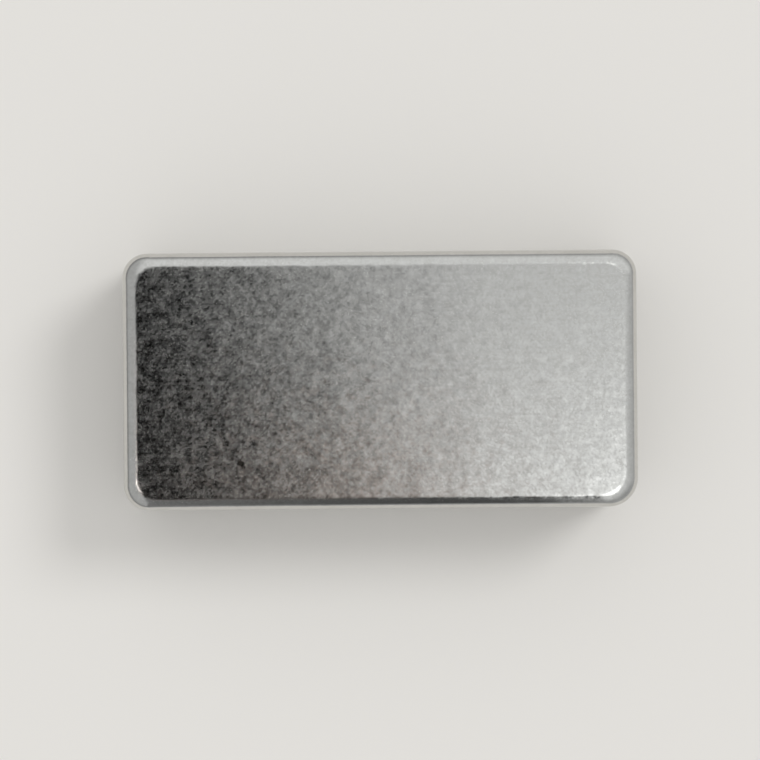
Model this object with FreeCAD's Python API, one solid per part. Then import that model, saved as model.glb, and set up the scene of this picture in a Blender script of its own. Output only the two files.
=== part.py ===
import FreeCAD
import Part

import os

# Block magnet: one sintered rare-earth block, ground square, tumbled until its edges are round,
# and plated with nickel. The plating is a skin of the same piece, so the whole is one solid.
# Millimetres, +Z up. The origin is the middle of the pole face that the block lies on.

# Driving dimensions

length = 20.0          # along X, over the plating
width = 10.0           # along Y, over the plating
thickness = 5.0        # along Z, from pole face to pole face
corner_radius = 1.0    # the four upright edges, as seen looking down on a pole face
rim_radius = 0.6       # the edges round each pole face, where the tumbling wears them

PARTS_FOLDER = "parts"
NODE = "block_magnet"
PLANE_TOLERANCE = 1e-6


def corner_arc(centre_x, centre_y, sign_x, sign_y):
    """The quarter circle of one upright edge, from the side that faces X to the side that faces Y."""
    diagonal = corner_radius / 2 ** 0.5
    on_end = FreeCAD.Vector(centre_x + sign_x * corner_radius, centre_y, 0)
    middle = FreeCAD.Vector(centre_x + sign_x * diagonal, centre_y + sign_y * diagonal, 0)
    on_side = FreeCAD.Vector(centre_x, centre_y + sign_y * corner_radius, 0)
    return Part.Arc(on_end, middle, on_side).toShape()


def outline():
    """The block's plan: a rectangle whose four corners are arcs."""
    straight_x = length / 2 - corner_radius
    straight_y = width / 2 - corner_radius
    edges = []
    for sign in (1, -1):
        side_y = sign * width / 2
        end_x = sign * length / 2
        edges.append(Part.makeLine((-straight_x, side_y, 0), (straight_x, side_y, 0)))
        edges.append(Part.makeLine((end_x, -straight_y, 0), (end_x, straight_y, 0)))
        for sign_y in (1, -1):
            edges.append(corner_arc(sign * straight_x, sign_y * straight_y, sign, sign_y))
    return Part.Wire(Part.__sortEdges__(edges))


def ground_block():
    """The block before tumbling: the outline, as tall as the magnet is thick."""
    return Part.Face(outline()).extrude(FreeCAD.Vector(0, 0, thickness))


def rim_edges(block):
    """Every edge that lies in one of the two pole faces."""
    found = []
    for edge in block.Edges:
        heights = [vertex.Z for vertex in edge.Vertexes]
        for pole_height in (0.0, thickness):
            if all(abs(height - pole_height) < PLANE_TOLERANCE for height in heights):
                found.append(edge)
    return found


def tumbled_block():
    """The finished piece: both rims rounded, each running on round the rounded corners."""
    block = ground_block()
    return block.makeFillet(rim_radius, rim_edges(block))


def main():
    magnet = tumbled_block()
    os.makedirs(PARTS_FOLDER, exist_ok=True)
    magnet.exportStep(os.path.join(PARTS_FOLDER, NODE + ".step"))
    box = magnet.BoundBox
    print(NODE, "valid:", magnet.isValid(), "solids:", len(magnet.Solids), "faces:", len(magnet.Faces))
    print("size mm:", round(box.XLength, 3), round(box.YLength, 3), round(box.ZLength, 3))
    print("volume mm3:", round(magnet.Volume, 3), "area mm2:", round(magnet.Area, 3))


main()
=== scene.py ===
# %% [markdown]
# # A nickel-plated block magnet
#
# The object is a small bar of pressed and sintered magnet alloy, 20 mm long, 10 mm wide and 5 mm thick.
# It is sawn and ground square, then tumbled in a drum with grinding stones until every edge is round,
# and last of all it is plated with nickel. Nothing about its form is complicated. What makes it look
# real is how light slides over it: a satin grain on the flat faces, smooth bright edges, and corners
# that are not quite alike.
#
# The lesson builds it in five steps: the mesh, the plating, the floor, the light and the camera. It
# starts by loading the frame, which holds the block as it was constructed, with its true size and
# place. Every size further down is either read from that block or given in millimetres.

import math

import bmesh
import bpy
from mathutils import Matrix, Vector, noise


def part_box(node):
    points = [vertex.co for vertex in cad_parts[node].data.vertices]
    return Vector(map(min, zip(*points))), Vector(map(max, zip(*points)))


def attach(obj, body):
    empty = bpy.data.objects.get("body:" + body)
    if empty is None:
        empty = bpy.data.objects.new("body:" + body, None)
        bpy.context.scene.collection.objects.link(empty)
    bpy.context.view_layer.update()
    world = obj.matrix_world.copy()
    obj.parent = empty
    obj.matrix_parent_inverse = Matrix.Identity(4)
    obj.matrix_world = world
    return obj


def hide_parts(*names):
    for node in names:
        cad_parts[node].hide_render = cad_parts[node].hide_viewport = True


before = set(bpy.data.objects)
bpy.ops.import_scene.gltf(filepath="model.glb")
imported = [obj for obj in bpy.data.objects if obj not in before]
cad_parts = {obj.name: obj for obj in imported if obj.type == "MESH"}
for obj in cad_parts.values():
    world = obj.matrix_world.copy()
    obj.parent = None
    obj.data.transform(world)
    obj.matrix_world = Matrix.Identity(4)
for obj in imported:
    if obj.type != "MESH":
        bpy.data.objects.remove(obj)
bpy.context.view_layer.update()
print("nodes in the frame:", list(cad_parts))

NODE = "block_magnet"
MM = 0.001

low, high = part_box(NODE)
length, width, thickness = high - low
print("block in the frame, mm:", [round(size / MM, 2) for size in (length, width, thickness)])

# %% [markdown]
# ## The outline seen from above
#
# The block could be a cube with a bevel modifier, and from across a room nobody would know. Close up,
# though, a bevel gives four corners that are exactly alike and one rounding for every edge. Tumbling
# does not work like that: the upright corners end up rounder than the edges round the pole faces, and
# each corner differs a little. So the outline is worked out point by point, each with the direction
# that faces outward there. The same function gives the outline of the upright sides and the smaller
# outlines of the two pole faces.

# %% Work out the outline of the sides
SIDES = ("right", "back", "left", "front")
CORNERS = [(1, -1), (1, 1), (-1, 1), (-1, -1)]
SIDE_CORNERS = {(1, -1): 1.14 * MM, (1, 1): 0.94 * MM, (-1, 1): 0.97 * MM, (-1, -1): 1.00 * MM}
QUARTER = math.pi / 2
POINTS_ON_LENGTH = 150
POINTS_ON_WIDTH = 66
POINTS_ON_CORNER = 16


def straight(start, end, outward, count):
    """Points from start up to, but not including, end, which all face the same way."""
    return [(start.lerp(end, i / count), outward) for i in range(count)]


def corner(centre, radius, start_angle, count):
    """Points round a quarter circle, anticlockwise, without its last point."""
    points = []
    for i in range(count):
        angle = start_angle + QUARTER * i / count
        outward = Vector((math.cos(angle), math.sin(angle), 0))
        points.append((centre + outward * radius, outward))
    return points


def outline(insets, radii):
    """(point, outward direction) all round the block, anticlockwise from its right-hand side."""
    x_of = {1: length / 2 - insets["right"], -1: insets["left"] - length / 2}
    y_of = {1: width / 2 - insets["back"], -1: insets["front"] - width / 2}
    centres = {(x, y): Vector((x_of[x] - x * r, y_of[y] - y * r, 0)) for (x, y), r in radii.items()}
    found = []
    for turn, here in enumerate(CORNERS):
        after = CORNERS[(turn + 1) % 4]
        angle = turn * QUARTER
        outward = Vector((round(math.cos(angle)), round(math.sin(angle)), 0))
        start = centres[here] + outward * radii[here]
        end = centres[after] + outward * radii[after]
        count = POINTS_ON_WIDTH if turn % 2 == 0 else POINTS_ON_LENGTH
        found += straight(start, end, outward, count)
        found += corner(centres[after], radii[after], angle, POINTS_ON_CORNER)
    return found


side_outline = outline(dict.fromkeys(SIDES, 0.0), SIDE_CORNERS)
print("points round the sides:", len(side_outline))

# %% [markdown]
# ## The rim
#
# Between the flat pole face and the upright side runs the rim, a quarter circle of about 0.6 mm. The
# drum wears one side a little more than the next, so the rim is not equally wide all the way round, and
# it wanders slightly. A corner is struck from three sides and wears most: there the rim is wider, and
# the flat face inside it ends in a rounder corner than a rim of even width would leave.
#
# A width is chosen for each of the four sides. It is also the rim's height, and at the corners it is
# blended by how much a point faces each side. The wandering is noise along the outline, taken from a
# different place for each of the two rims.

# %% Work out the rims
UPPER_RIM = {"right": 0.56 * MM, "back": 0.60 * MM, "left": 0.62 * MM, "front": 0.52 * MM}
LOWER_RIM = {"right": 0.60 * MM, "back": 0.57 * MM, "left": 0.58 * MM, "front": 0.61 * MM}
FACE_CORNERS = {(1, -1): 0.95 * MM, (1, 1): 0.75 * MM, (-1, 1): 0.85 * MM, (-1, -1): 0.80 * MM}
RIM_WANDER = 0.015 * MM
WANDER_LENGTH = 1.8 * MM
UPPER_SEED = Vector((0, 0, 0))
LOWER_SEED = Vector((0, 0, 40))


def rim(widths, seed):
    """(point on the side, point on the pole face, rim height) all round the block."""
    found = []
    face_outline = outline(widths, FACE_CORNERS)
    for (side_point, outward), (face_point, _) in zip(side_outline, face_outline):
        shares = {
            "right": max(outward.x, 0) ** 2,
            "back": max(outward.y, 0) ** 2,
            "left": max(-outward.x, 0) ** 2,
            "front": max(-outward.y, 0) ** 2,
        }
        even = sum(widths[side] * shares[side] for side in SIDES)
        wander = RIM_WANDER * noise.noise(side_point / WANDER_LENGTH + seed)
        found.append((side_point, face_point - outward * wander, even + wander))
    return found


upper_rim = rim(UPPER_RIM, UPPER_SEED)
lower_rim = rim(LOWER_RIM, LOWER_SEED)
rim_widths = [(side_point - face_point).length / MM for side_point, face_point, height in upper_rim]
print("upper rim, mm: %.3f to %.3f wide" % (min(rim_widths), max(rim_widths)))

# %% [markdown]
# ## The mesh
#
# The outline is repeated in rows, from the edge of the upper pole face, round its rim, down the side
# and round the lower rim. Joining each row to the next gives a band of four-sided faces. A pole face
# could be one big polygon, but its reflections would then be shaded badly near the edge, so it is
# filled with a grid instead. The grid is a Coons patch: it blends the four sides of the innermost row
# across the face, so its cells follow the rounded corners. The whole block is then one closed skin of
# four-sided faces.

# %% Place the rows
RIM_ROWS = 12
SIDE_ROWS = 20


def rim_row(points, turn, pole_height, up):
    """One row of the rim. turn is 0 at the pole face and 1 where the rim meets the side."""
    angle = turn * QUARTER
    row = []
    for side_point, face_point, height in points:
        place = face_point.lerp(side_point, math.sin(angle))
        place.z = pole_height - up * height * (1 - math.cos(angle))
        row.append(place)
    return row


turns = [k / RIM_ROWS for k in range(RIM_ROWS + 1)]
upper_rows = [rim_row(upper_rim, turn, high.z, 1) for turn in turns]
lower_rows = [rim_row(lower_rim, turn, low.z, -1) for turn in reversed(turns)]
side_rows = []
for k in range(1, SIDE_ROWS):
    share = k / SIDE_ROWS
    side_rows.append([a.lerp(b, share) for a, b in zip(upper_rows[-1], lower_rows[0])])
block_rows = upper_rows + side_rows + lower_rows
print("rows:", len(block_rows))

# %% Fill a pole face with a grid
ACROSS = POINTS_ON_LENGTH + POINTS_ON_CORNER
ALONG = POINTS_ON_WIDTH + POINTS_ON_CORNER


def pole_grid(bm, ring):
    """Fills a closed ring of vertices with a grid, as a Coons patch between its four sides."""
    first = len(ring) - POINTS_ON_CORNER // 2
    walk = [ring[(first + i) % len(ring)] for i in range(len(ring))]
    right = walk[:ALONG + 1]
    back = walk[ALONG:ALONG + ACROSS + 1][::-1]
    left = walk[ALONG + ACROSS:2 * ALONG + ACROSS + 1][::-1]
    front = walk[2 * ALONG + ACROSS:] + [walk[0]]
    grid = [[None] * (ACROSS + 1) for _ in range(ALONG + 1)]
    for i in range(ACROSS + 1):
        grid[0][i] = front[i]
        grid[ALONG][i] = back[i]
    for j in range(ALONG + 1):
        grid[j][0] = left[j]
        grid[j][ACROSS] = right[j]
    for j in range(1, ALONG):
        v = j / ALONG
        for i in range(1, ACROSS):
            u = i / ACROSS
            from_ends = left[j].co.lerp(right[j].co, u)
            from_sides = front[i].co.lerp(back[i].co, v)
            from_corners = front[0].co.lerp(front[-1].co, u).lerp(back[0].co.lerp(back[-1].co, u), v)
            grid[j][i] = bm.verts.new(from_ends + from_sides - from_corners)
    return grid


print("cells on a pole face:", ACROSS * ALONG)

# %% Join everything into one skin


def add_grid_faces(bm, grid, facing_up):
    """Joins a grid of vertices with four-sided faces."""
    for j in range(ALONG):
        for i in range(ACROSS):
            cell = [grid[j][i], grid[j][i + 1], grid[j + 1][i + 1], grid[j + 1][i]]
            bm.faces.new(cell if facing_up else cell[::-1])


def build_block():
    """The block's closed skin, in a bmesh."""
    bm = bmesh.new()
    rings = [[bm.verts.new(place) for place in row] for row in block_rows]
    count = len(side_outline)
    for upper, lower in zip(rings, rings[1:]):
        for i in range(count):
            after = (i + 1) % count
            bm.faces.new((upper[i], lower[i], lower[after], upper[after]))
    add_grid_faces(bm, pole_grid(bm, rings[0]), True)
    add_grid_faces(bm, pole_grid(bm, rings[-1]), False)
    bm.normal_update()
    return bm


block_mesh = build_block()
open_edges = [edge for edge in block_mesh.edges if len(edge.link_faces) != 2]
print("faces:", len(block_mesh.faces), "open edges:", len(open_edges))
print("volume, mm3: %.2f" % (block_mesh.calc_volume() / MM ** 3))

# %% [markdown]
# ## Wear that can be measured
#
# A ground face is never a perfect mirror plane. Across a few millimetres it rises and falls by a few
# thousandths of a millimetre, and it rolls off just before the rim. That is far too little to see as
# shape, but a reflection shows it at once. A bump map could bend the reflections in the same way, but
# then the mesh would still be perfectly flat for anyone who takes it away without the material. So the
# vertices are moved, inward along their normals and never outward, and the block stays inside its true
# size.

# %% Move the vertices inward
WAVE_DEPTH = 0.010 * MM
WAVE_LENGTH = 3.2 * MM
ROLL_DEPTH = 0.007 * MM
ROLL_WIDTH = 0.7 * MM
ROLL_STARTS = 0.6 * MM
ROLL_FOCUS = 4


def wave(place):
    """How far the grinding left this place low."""
    return WAVE_DEPTH * (1 - noise.noise(place / WAVE_LENGTH)) / 2


def roll_off(place, normal):
    """How far a pole face drops as it nears its rim. The power keeps the drop off the sides."""
    to_end = length / 2 - abs(place.x)
    to_side = width / 2 - abs(place.y)
    inside_rim = max(min(to_end, to_side) - ROLL_STARTS, 0)
    return ROLL_DEPTH * math.exp(-inside_rim / ROLL_WIDTH) * abs(normal.z) ** ROLL_FOCUS


deepest_move = 0.0
for vertex in block_mesh.verts:
    move = wave(vertex.co) + roll_off(vertex.co, vertex.normal)
    deepest_move = max(deepest_move, move)
    vertex.co -= vertex.normal * move
print("deepest move, mm: %.4f" % (deepest_move / MM))

# %% [markdown]
# ## From mesh to object
#
# The faces are shaded smooth, because a tumbled block has no edge that is sharp enough to need a
# crease. The new skin then takes the place of the plain block in the frame: it hangs from the root
# body, and the plain block is hidden.

# %% Turn the bmesh into an object
mesh = bpy.data.meshes.new("magnet_skin")
block_mesh.to_mesh(mesh)
block_mesh.free()
mesh.polygons.foreach_set("use_smooth", [True] * len(mesh.polygons))
magnet = bpy.data.objects.new("magnet_skin", mesh)
bpy.context.scene.collection.objects.link(magnet)

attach(magnet, "root")
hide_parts(NODE)
print("vertices in the skin:", len(mesh.vertices))

# %% [markdown]
# ## Two helpers for materials
#
# Colours are written as sRGB hex values, the way a colour picker gives them, and one function turns
# them into the linear numbers that the renderer works with. A second function adds a node with its
# settings and its links, so that each material can be read from top to bottom like a recipe.

# %% Helpers for colours and nodes


def linear(hex_colour):
    """Turns an sRGB hex colour into linear red, green, blue and alpha."""
    parts = [int(hex_colour[i:i + 2], 16) / 255 for i in (1, 3, 5)]
    bent = [c / 12.92 if c <= 0.04045 else ((c + 0.055) / 1.055) ** 2.4 for c in parts]
    return (*bent, 1.0)


def add(tree, kind, inputs=None, **settings):
    """Adds a node. inputs gives each socket a value or the output that feeds it."""
    node = tree.nodes.new(kind)
    for name, value in settings.items():
        setattr(node, name, value)
    for socket, value in (inputs or {}).items():
        if isinstance(value, bpy.types.NodeSocket):
            tree.links.new(value, node.inputs[socket])
        else:
            node.inputs[socket].default_value = value
    return node


print("a mid grey of #808080 is %.3f in linear light" % linear("#808080")[0])

# %% [markdown]
# ## The plating: how far each place was polished
#
# The finish is electroplated nickel, a layer of hard silvery metal about two hundredths of a millimetre
# thick, over a core that was ground and then tumbled. The plating follows what lies under it. The drum
# wears the edges far more than the pole faces, so the rims come out smooth and bright while the pole
# faces stay satin. The narrow sides are rubbed nearly as much as the rims.
#
# One way to show this is to give each of them a material of its own, but that draws a hard line where
# the real change is gradual. Here the surface's own direction decides: on a flat it runs along an axis,
# and on every rounding it lies between two.

# %% Work out the polish
FLAT_FROM = 0.999
ROUND_FROM = 0.90
SIDE_POLISH = 0.8


def polish(tree, facing):
    """0 on the two pole faces, SIDE_POLISH on the four sides and 1 on every rounding."""
    along_axes = add(tree, "ShaderNodeVectorMath", {0: facing}, operation="ABSOLUTE")
    x, y, z = add(tree, "ShaderNodeSeparateXYZ", {0: along_axes.outputs[0]}).outputs
    sideways = add(tree, "ShaderNodeMath", {0: x, 1: y}, operation="MAXIMUM")
    flatness = add(tree, "ShaderNodeMath", {0: sideways.outputs[0], 1: z}, operation="MAXIMUM")
    rounded = add(
        tree, "ShaderNodeMapRange",
        {"Value": flatness.outputs[0], "From Min": FLAT_FROM, "From Max": ROUND_FROM},
        interpolation_type="SMOOTHSTEP",
    )
    on_sides = add(tree, "ShaderNodeMapRange", {"Value": z, "To Min": SIDE_POLISH, "To Max": 0.0})
    return add(
        tree, "ShaderNodeMath", {0: rounded.outputs[0], 1: on_sides.outputs[0]}, operation="MAXIMUM"
    ).outputs[0]


print("flat up to a lean of %.1f degrees" % math.degrees(math.acos(FLAT_FROM)))
print("round from a lean of %.1f degrees" % math.degrees(math.acos(ROUND_FROM)))

# %% [markdown]
# ## The grain of the plating
#
# Satin nickel is not flat at any size. Grinding leaves soft lumps almost a millimetre wide, the plating
# covers them with nodules, and the nodules are made of crystals. Each of them leans a little, so each
# mirrors a slightly different part of the room, and the face breaks up into light and dark grains.
#
# A bump map alone could do it, but the slopes of a height field look combed wherever the light changes
# in one direction only. So just the lumps are a bump map, while nodules and crystals push the normal
# by a random amount, which gives round grains. Real nodules are a few hundredths of a millimetre wide
# and real crystals a few thousandths, which is far too fine for a picture of the whole block. Both are
# drawn as coarse as they need to be to show: the crystals come out at about two pixels each.

# %% Give the surface its grain
LUMP = 0.90 * MM
LUMP_HEIGHT = 0.012 * MM
NODULE = 0.30 * MM
NODULE_LEAN = 0.06
CRYSTAL = 0.08 * MM
CRYSTAL_LEAN = 0.030
GRAIN_ON_RIM = 0.30


def grain(tree, where, crystals, polished):
    """The direction that each point of the plating faces."""
    share = add(
        tree, "ShaderNodeMapRange", {"Value": polished, "To Min": 1.0, "To Max": GRAIN_ON_RIM}
    ).outputs[0]
    lumps = add(
        tree, "ShaderNodeTexNoise",
        {"Vector": where, "Scale": 1 / LUMP, "Detail": 2.0, "Roughness": 0.5},
    )
    bump = add(
        tree, "ShaderNodeBump", {"Strength": share, "Distance": LUMP_HEIGHT, "Height": lumps.outputs[0]}
    )
    nodules = add(
        tree, "ShaderNodeTexNoise",
        {"Vector": where, "Scale": 1 / NODULE, "Detail": 1.0, "Roughness": 0.4},
    )
    # Both patterns run from 0 to 1, so half of each lean is taken off to leave no lean on the whole.
    middle = -(NODULE_LEAN + CRYSTAL_LEAN) / 2
    nodule_lean = add(
        tree, "ShaderNodeVectorMath",
        {0: nodules.outputs["Color"], 1: [NODULE_LEAN] * 3, 2: [middle] * 3}, operation="MULTIPLY_ADD",
    )
    whole_lean = add(
        tree, "ShaderNodeVectorMath",
        {0: crystals, 1: [CRYSTAL_LEAN] * 3, 2: nodule_lean.outputs[0]}, operation="MULTIPLY_ADD",
    )
    lean = add(
        tree, "ShaderNodeVectorMath", {0: whole_lean.outputs[0], "Scale": share}, operation="SCALE"
    )
    pushed = add(
        tree, "ShaderNodeVectorMath", {0: bump.outputs[0], 1: lean.outputs[0]}, operation="ADD"
    )
    return add(tree, "ShaderNodeVectorMath", {0: pushed.outputs[0]}, operation="NORMALIZE").outputs[0]


print("lumps along the block: %.0f" % (length / LUMP))
print("crystals along the block: %.0f" % (length / CRYSTAL))

# %% [markdown]
# ## Gloss and colour
#
# Nickel has no colour that light brings out from inside, only a faint warm tint in what it mirrors.
# Measured nickel is about #D4CCBF, and a bright plating bath leaves it nearly neutral. It is glossier
# where the drum had rubbed the core smooth and duller elsewhere. The dull patches are also drawn a
# little darker, which is painted shade standing in for the hollows of the grain.
# Handling adds very fine rub marks along the length. They are drawn about two pixels wide, because
# real ones would not show.
#
# One value for the whole block would make it look like foil, so gloss and colour both follow the same
# patches, mixed from soft spots, rub marks and the crystals themselves. Polished nickel has a roughness
# of about 0.1 and satin nickel one of 0.2 to 0.3, and the patches run from one to the other. A dull
# patch gathers light from further round, so on a pole face that mirrors something dark it shows up
# bright, and where all is bright it hardly shows. The two colours are close together, because strong
# patches look like stains.

# %% Vary the gloss and the colour
NICKEL = "#D4D3D0"
# The darker nickel is painted shade: the dull patches are drawn in it to stand in for shade in the
# grain's hollows.
NICKEL_WITH_PAINTED_SHADE = "#C8C7C3"
SPOT = 0.42 * MM
RUB_WIDTH = 0.09 * MM
RUB_STRETCH = 14.0
RUB_SHARE = 0.45
CRYSTAL_SHARE = 0.28
SPREAD = (0.30, 0.70)
ROUGH_WHERE_RUBBED = 0.08
ROUGH_WHERE_DULL = 0.25
ROUGH_ON_RIM = 0.15


def patches(tree, where, crystals):
    """Rubbed patches near 0 and dull ones near 1."""
    spots = add(
        tree, "ShaderNodeTexNoise",
        {"Vector": where, "Scale": 1 / SPOT, "Detail": 1.2, "Roughness": 0.5},
    )
    stretched = add(
        tree, "ShaderNodeVectorMath", {0: where, 1: (1 / RUB_STRETCH, 1.0, 1.0)}, operation="MULTIPLY"
    )
    rubs = add(
        tree, "ShaderNodeTexNoise",
        {"Vector": stretched.outputs[0], "Scale": 1 / RUB_WIDTH, "Detail": 2.0, "Roughness": 0.5},
    )
    soft = add(
        tree, "ShaderNodeMix", {"Factor": RUB_SHARE, "A": spots.outputs[0], "B": rubs.outputs[0]}
    )
    fine = add(tree, "ShaderNodeMix", {"Factor": CRYSTAL_SHARE, "A": soft.outputs[0], "B": crystals})
    # Mixed noise keeps near its middle, so its middle part is spread over the whole range.
    return add(
        tree, "ShaderNodeMapRange",
        {"Value": fine.outputs[0], "From Min": SPREAD[0], "From Max": SPREAD[1]},
    ).outputs[0]


def gloss(tree, patch, polished):
    """The roughness: uneven on the pole faces, calmer on the sides and even on the roundings."""
    on_poles = add(
        tree, "ShaderNodeMapRange",
        {"Value": patch, "To Min": ROUGH_WHERE_RUBBED, "To Max": ROUGH_WHERE_DULL},
    )
    return add(
        tree, "ShaderNodeMix", {"Factor": polished, "A": on_poles.outputs[0], "B": ROUGH_ON_RIM}
    ).outputs[0]


print("rub marks are about %.1f mm long" % (RUB_WIDTH * RUB_STRETCH / MM))

# %% [markdown]
# ## One flaw
#
# The face that shows has a single dark speck near its front left corner. It could be a hole in the
# mesh, but it is about a third of a millimetre wide and has no depth that shows, so it is a spot of
# colour.
# Noise that is added to the distance makes its edge ragged.

# %% Place the speck
SPECK_PLACE = Vector((-5.4 * MM, -3.2 * MM, high.z))
SPECK_REACH = 0.22 * MM
SPECK_NOISE = 0.16 * MM
SPECK_COLOUR = "#6A6661"
SPECK_RAGGED = 2.0
# The noise is about 0.5 on average, so it adds about one reach. These two limits allow for that.
SPECK_ENDS = 1.85
SPECK_FULL = 1.35


def speck(tree, where):
    """1 on the speck and 0 everywhere else."""
    away = add(
        tree, "ShaderNodeVectorMath", {0: where, 1: tuple(SPECK_PLACE)}, operation="DISTANCE"
    ).outputs["Value"]
    edge = add(tree, "ShaderNodeTexNoise", {"Vector": where, "Scale": 1 / SPECK_NOISE, "Detail": 2.0})
    ragged = add(
        tree, "ShaderNodeMath", {0: edge.outputs[0], 1: SPECK_REACH * SPECK_RAGGED, 2: away},
        operation="MULTIPLY_ADD",
    )
    return add(
        tree, "ShaderNodeMapRange",
        {
            "Value": ragged.outputs[0],
            "From Min": SPECK_REACH * SPECK_ENDS, "From Max": SPECK_REACH * SPECK_FULL,
        },
        interpolation_type="SMOOTHSTEP",
    ).outputs[0]


from_corner = [SPECK_PLACE.x - low.x, SPECK_PLACE.y - low.y]
print("speck from the front left corner, mm:", [round(v / MM, 1) for v in from_corner])

# %% [markdown]
# ## The whole plating
#
# Now the recipe comes together. The shader is a pure metal, so it has no diffuse part at all:
# everything that is seen on the block is a reflection, and its index of refraction keeps the default.
# Positions come from the object's own coordinates, in metres, so the grain stays on the block wherever
# the block is carried.

# %% Make the nickel and put it on the block


def electroplated_nickel():
    """Electroplated nickel on a ground and tumbled core: satin pole faces and bright rims."""
    material = bpy.data.materials.new("electroplated_nickel")
    material.use_nodes = True
    tree = material.node_tree
    shader = tree.nodes["Principled BSDF"]
    shader.inputs["Metallic"].default_value = 1.0

    place = add(tree, "ShaderNodeTexCoord").outputs
    where = place["Object"]
    polished = polish(tree, place["Normal"])
    cells = add(tree, "ShaderNodeTexVoronoi", {"Vector": where, "Scale": 1 / CRYSTAL})
    crystals = cells.outputs["Color"]
    patch = patches(tree, where, crystals)

    # Rubbed patches keep the plain nickel, and dull ones take the darker nickel, which is painted
    # shade.
    wear_and_painted_shade = add(
        tree, "ShaderNodeMix",
        {"Factor": patch, "A": linear(NICKEL), "B": linear(NICKEL_WITH_PAINTED_SHADE)}, data_type="RGBA",
    )
    colour = add(
        tree, "ShaderNodeMix",
        {"Factor": speck(tree, where), "A": wear_and_painted_shade.outputs["Result"], "B": linear(SPECK_COLOUR)},
        data_type="RGBA",
    )
    tree.links.new(colour.outputs["Result"], shader.inputs["Base Color"])
    tree.links.new(gloss(tree, patch, polished), shader.inputs["Roughness"])
    tree.links.new(grain(tree, where, crystals, polished), shader.inputs["Normal"])
    return material


nickel = electroplated_nickel()
mesh.materials.append(nickel)
print("nodes in the nickel:", len(nickel.node_tree.nodes))

# %% [markdown]
# ## The floor
#
# The block lies on a plain sheet of pale matt board. It is made so large that its far edge is never
# seen as an edge. It could be a curved sweep, as a photographer would hang, but a flat sheet under a
# sky of the same tone looks the same and is simpler. Real board keeps a faint sheen, which is switched
# off here, because otherwise it would mirror the tent that is hung further down.

# %% Lay the floor
FLOOR_REACH = 3.0
FLOOR_COLOUR = "#E6E4E0"
FLOOR_ROUGHNESS = 0.9
FLOOR_SHEEN = 0.0


def matt_board():
    """Pale matt board: it scatters light evenly and mirrors nothing."""
    material = bpy.data.materials.new("pale_matt_board")
    material.use_nodes = True
    shader = material.node_tree.nodes["Principled BSDF"]
    shader.inputs["Base Color"].default_value = linear(FLOOR_COLOUR)
    shader.inputs["Roughness"].default_value = FLOOR_ROUGHNESS
    shader.inputs["Specular IOR Level"].default_value = FLOOR_SHEEN
    return material


floor_mesh = bpy.data.meshes.new("floor")
floor_corners = [(x * FLOOR_REACH, y * FLOOR_REACH, low.z) for x, y in CORNERS]
floor_mesh.from_pydata(floor_corners, [], [(0, 1, 2, 3)])
floor_mesh.materials.append(matt_board())
floor = bpy.data.objects.new("floor", floor_mesh)
bpy.context.scene.collection.objects.link(floor)
print("floor is %.0f m across" % (2 * FLOOR_REACH))

# %% [markdown]
# ## Light for the floor
#
# The board is lit softly from all round, with a little more light from behind on the right, so that the
# block throws a soft shadow and sits on the floor. A lamp close by would fade across the board and
# leave its far part dark, so the key light is a very wide sun, which lights near and far alike. The
# metal does not mirror it: the tent takes care of that.
#
# The sky shows above the floor's far edge when the block is seen from low down. Its horizon gets the
# tone that the lit floor has, worked out from the same values, so the two run into each other.

# %% Work out the tone of the lit floor
SKY_TONE = 0.78
# The horizon is a little darker than the sky above it, so the floor gets slightly less than SKY_TONE.
SKY_SHARE = 0.987
KEY_FROM = Vector((0.095, 0.065, 0.115)).normalized()
KEY_STRENGTH = 0.85

# A surface that scatters evenly sends back 1 / pi of the light that falls on it.
light_on_floor = SKY_TONE * SKY_SHARE + KEY_STRENGTH * KEY_FROM.z / math.pi
floor_tone = [c * light_on_floor for c in linear(FLOOR_COLOUR)[:3]]
print("tone of the lit floor:", [round(c, 3) for c in floor_tone])

# %% Make the sky
HORIZON_ENDS = 0.25
SKY_STARTS = 0.55


def studio_sky():
    """Even light from all round, which has the floor's tone at the horizon."""
    world = bpy.data.worlds.new("soft_studio")
    world.use_nodes = True
    tree = world.node_tree
    direction = add(tree, "ShaderNodeTexCoord").outputs["Generated"]
    height = add(tree, "ShaderNodeSeparateXYZ", {0: direction}).outputs[2]
    rise = add(
        tree, "ShaderNodeMapRange",
        {"Value": height, "From Min": HORIZON_ENDS, "From Max": SKY_STARTS},
        interpolation_type="SMOOTHSTEP",
    )
    sky = (SKY_TONE, SKY_TONE, SKY_TONE, 1.0)
    colour = add(
        tree, "ShaderNodeMix", {"Factor": rise.outputs[0], "A": (*floor_tone, 1.0), "B": sky},
        data_type="RGBA",
    )
    tree.links.new(colour.outputs["Result"], tree.nodes["Background"].inputs["Color"])
    return world


bpy.context.scene.world = studio_sky()
print("the sky proper starts at %.0f degrees" % math.degrees(math.asin(SKY_STARTS)))

# %% Add the key light
KEY_WIDTH = math.radians(22)

key = bpy.data.lights.new("soft_key", "SUN")
key.energy = KEY_STRENGTH
key.angle = KEY_WIDTH
key_holder = bpy.data.objects.new("soft_key", key)
key_holder.rotation_mode = "QUATERNION"
key_holder.rotation_quaternion = KEY_FROM.to_track_quat("Z", "Y")
key_holder.visible_glossy = False
bpy.context.scene.collection.objects.link(key_holder)
print("the key light stands %.0f degrees high" % math.degrees(math.asin(KEY_FROM.z)))

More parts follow.
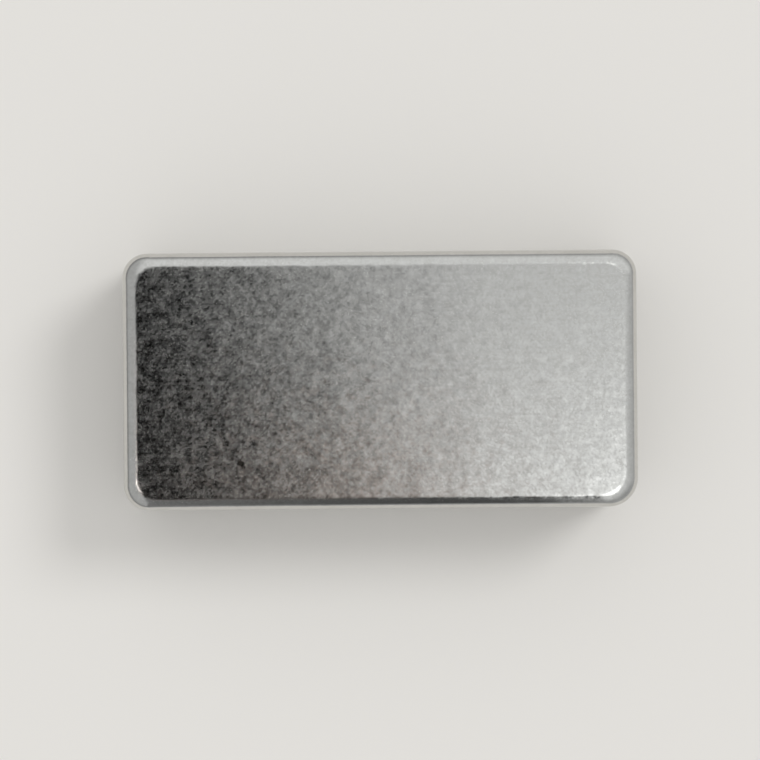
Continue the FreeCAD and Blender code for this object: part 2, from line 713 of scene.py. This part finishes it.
# %% [markdown]
# ## Something for the metal to mirror
#
# A photographer who shoots bright metal does not light the metal, but what it mirrors. The usual set-up
# is a tent: white cloth hung round the object and lit from outside, with dark gaps where the metal
# should go dark. Area lamps could stand in for the cloths, but each would also light the floor, and its
# hard edges would show on the rims. So the tent here is a sphere that glows, and only reflections can
# see it.
#
# Each cloth is one line of a list. Its edges say along which axis it begins and where it covers all, as
# shares of the sphere's radius, and its tone changes along one axis. Later cloths hang in front of
# earlier ones. The upper pole face mirrors the ceiling, which goes from a dark gap on the left to full
# light on the right. The rims mirror the walls: bright behind and on the right, dim on the left, almost
# black in front. Just over the floor the tent is left open and is dimmer, and that draws a thin grey
# line round the block's outer edge.

# %% List the cloths and the lamps
TENT_RADIUS = 75 * MM
CEILING_SLANT = 0.18
# Every edge is (axis, starts, covers all). The tone is (axis, from, to, tone there, tone there).
CLOTHS = {
    "ceiling": ([("slant", -0.198, 0.143)], ("y", 0.15, -0.15, 0.72, 0.88)),
    "right wall": ([("x", 0.24, 0.34)], ("x", 0.30, 1.0, 0.80, 0.58)),
    "front right": (
        [("x", 0.10, 0.26), ("y", -0.15, -0.50), ("z", 0.80, 0.30)], ("z", 0, 1, 0.40, 0.40),
    ),
    "left wall": ([("x", -0.31, -0.42)], ("z", 0, 1, 0.52, 0.52)),
    "back wall": ([("y", 0.19, 0.34), ("x", -0.62, -0.34)], ("z", 0.05, 0.62, 0.50, 0.88)),
    "front gap": (
        [("y", -0.30, -0.44), ("x", 0.175, 0.150), ("x", -0.45, -0.25)], ("x", -0.35, 0.10, 0.26, 0.06),
    ),
    "gap over the floor": ([("z", 0.34, 0.10)], ("x", -0.35, 0.35, 0.30, 0.48)),
}
# Every lamp is (x, y, reach, gain). They hang overhead and give the corners their glints.
LAMPS = [
    (0.280, -0.185, 0.250, 0.60),
    (0.290, -0.280, 0.160, 2.6),
    (0.250, 0.290, 0.038, 12.0),
    (-0.440, -0.160, 0.065, 8.0),
]
DAYLIGHT = "#FCFEFF"
WARM_LIGHT = "#FFF0E8"
WARM_EDGES = [("y", 0.02, -0.11), ("x", 0.14, -0.06), ("z", 0.80, 0.96)]
print("cloths:", len(CLOTHS), "lamps:", len(LAMPS), "tent across, mm: %.0f" % (2 * TENT_RADIUS / MM))

# %% Mix the tones of the tent


def soft_cover(tree, at, edges):
    """How far a place lies behind all the given soft edges, from 0 to 1."""
    cover = 1.0
    for axis, starts, covers_all in edges:
        edge = add(
            tree, "ShaderNodeMapRange",
            {"Value": at[axis], "From Min": starts, "From Max": covers_all},
            interpolation_type="SMOOTHSTEP",
        )
        cover = add(
            tree, "ShaderNodeMath", {0: cover, 1: edge.outputs[0]}, operation="MULTIPLY"
        ).outputs[0]
    return cover


def hang_cloths(tree, at):
    """The tone of the tent, with every cloth hung in front of those before it."""
    tone = 0.0
    for edges, (axis, start, end, start_tone, end_tone) in CLOTHS.values():
        own_tone = add(
            tree, "ShaderNodeMapRange",
            {
                "Value": at[axis], "From Min": start, "From Max": end,
                "To Min": start_tone, "To Max": end_tone,
            },
            interpolation_type="SMOOTHSTEP",
        )
        tone = add(
            tree, "ShaderNodeMix",
            {"Factor": soft_cover(tree, at, edges), "A": tone, "B": own_tone.outputs[0]},
        ).outputs[0]
    return tone


def hang_lamps(tree, unit, tone):
    """Adds the small lamps to the tent's tone, each brightest in its middle."""
    for x, y, reach, gain in LAMPS:
        z = math.sqrt(1 - x * x - y * y)
        away = add(
            tree, "ShaderNodeVectorMath", {0: unit, 1: (x, y, z)}, operation="DISTANCE"
        ).outputs["Value"]
        glow = add(
            tree, "ShaderNodeMapRange",
            {"Value": away, "From Min": reach, "From Max": 0.0, "To Max": gain},
            interpolation_type="SMOOTHSTEP",
        )
        tone = add(tree, "ShaderNodeMath", {0: tone, 1: glow.outputs[0]}, operation="ADD").outputs[0]
    return tone


print("edges of cloth:", sum(len(edges) for edges, tone in CLOTHS.values()))

# %% Weave the cloth


def glowing_cotton():
    """White cotton lit from outside: it only glows, with a warmer light overhead on the front left."""
    material = bpy.data.materials.new("glowing_white_cotton")
    material.use_nodes = True
    # Rays that meet the tent by chance are enough, so the renderer does not aim at it as at a lamp.
    material.cycles.emission_sampling = "NONE"
    tree = material.node_tree
    tree.nodes.remove(tree.nodes["Principled BSDF"])
    where = add(tree, "ShaderNodeTexCoord").outputs["Object"]
    unit = add(
        tree, "ShaderNodeVectorMath", {0: where, "Scale": 1 / TENT_RADIUS}, operation="SCALE"
    ).outputs[0]
    x, y, z = add(tree, "ShaderNodeSeparateXYZ", {0: unit}).outputs
    slant = add(tree, "ShaderNodeMath", {0: y, 1: CEILING_SLANT, 2: x}, operation="MULTIPLY_ADD")
    at = {"x": x, "y": y, "z": z, "slant": slant.outputs[0]}
    tone = hang_lamps(tree, unit, hang_cloths(tree, at))
    tint = add(
        tree, "ShaderNodeMix",
        {"Factor": soft_cover(tree, at, WARM_EDGES), "A": linear(DAYLIGHT), "B": linear(WARM_LIGHT)},
        data_type="RGBA",
    )
    glow = add(tree, "ShaderNodeEmission", {"Color": tint.outputs["Result"], "Strength": tone})
    tree.links.new(glow.outputs[0], tree.nodes["Material Output"].inputs["Surface"])
    return material


cotton = glowing_cotton()
print("nodes in the cotton:", len(cotton.node_tree.nodes))

# %% Hang the tent
TENT_FINENESS = 5

tent_shape = bmesh.new()
bmesh.ops.create_icosphere(tent_shape, subdivisions=TENT_FINENESS, radius=TENT_RADIUS)
tent_mesh = bpy.data.meshes.new("reflection_tent")
tent_shape.to_mesh(tent_mesh)
tent_shape.free()
tent_mesh.materials.append(cotton)
tent = bpy.data.objects.new("reflection_tent", tent_mesh)
bpy.context.scene.collection.objects.link(tent)
tent.visible_camera = False
tent.visible_diffuse = False
tent.visible_shadow = False
tent.visible_transmission = False
print("faces of the tent:", len(tent_mesh.polygons))

# %% [markdown]
# ## The camera
#
# The block is seen straight from above, as one looks at a thing laid out on a table. From close by, a
# camera sees the near edges larger than the far ones and looks down the sides. A long lens from further
# off keeps the plan true, so the rims show their whole width all round. It is turned by half a degree,
# because nobody lays a block down perfectly square.

# %% Place the camera
LENS = 150.0
SENSOR = 36.0
FILL = 0.68
ROLL = math.radians(-0.5)
NEAREST = 0.001
FARTHEST = 10.0

camera_data = bpy.data.cameras.new("camera")
camera_data.lens = LENS
camera_data.sensor_width = SENSOR
camera_data.clip_start = NEAREST
camera_data.clip_end = FARTHEST
camera = bpy.data.objects.new("camera", camera_data)
distance = length / FILL * LENS / SENSOR
camera.location = (0, 0, high.z + distance)
camera.rotation_euler = (0, 0, ROLL)
bpy.context.scene.collection.objects.link(camera)
bpy.context.scene.camera = camera
bpy.context.scene.view_settings.view_transform = "Standard"
print("camera height, mm: %.1f" % (camera.location.z / MM))
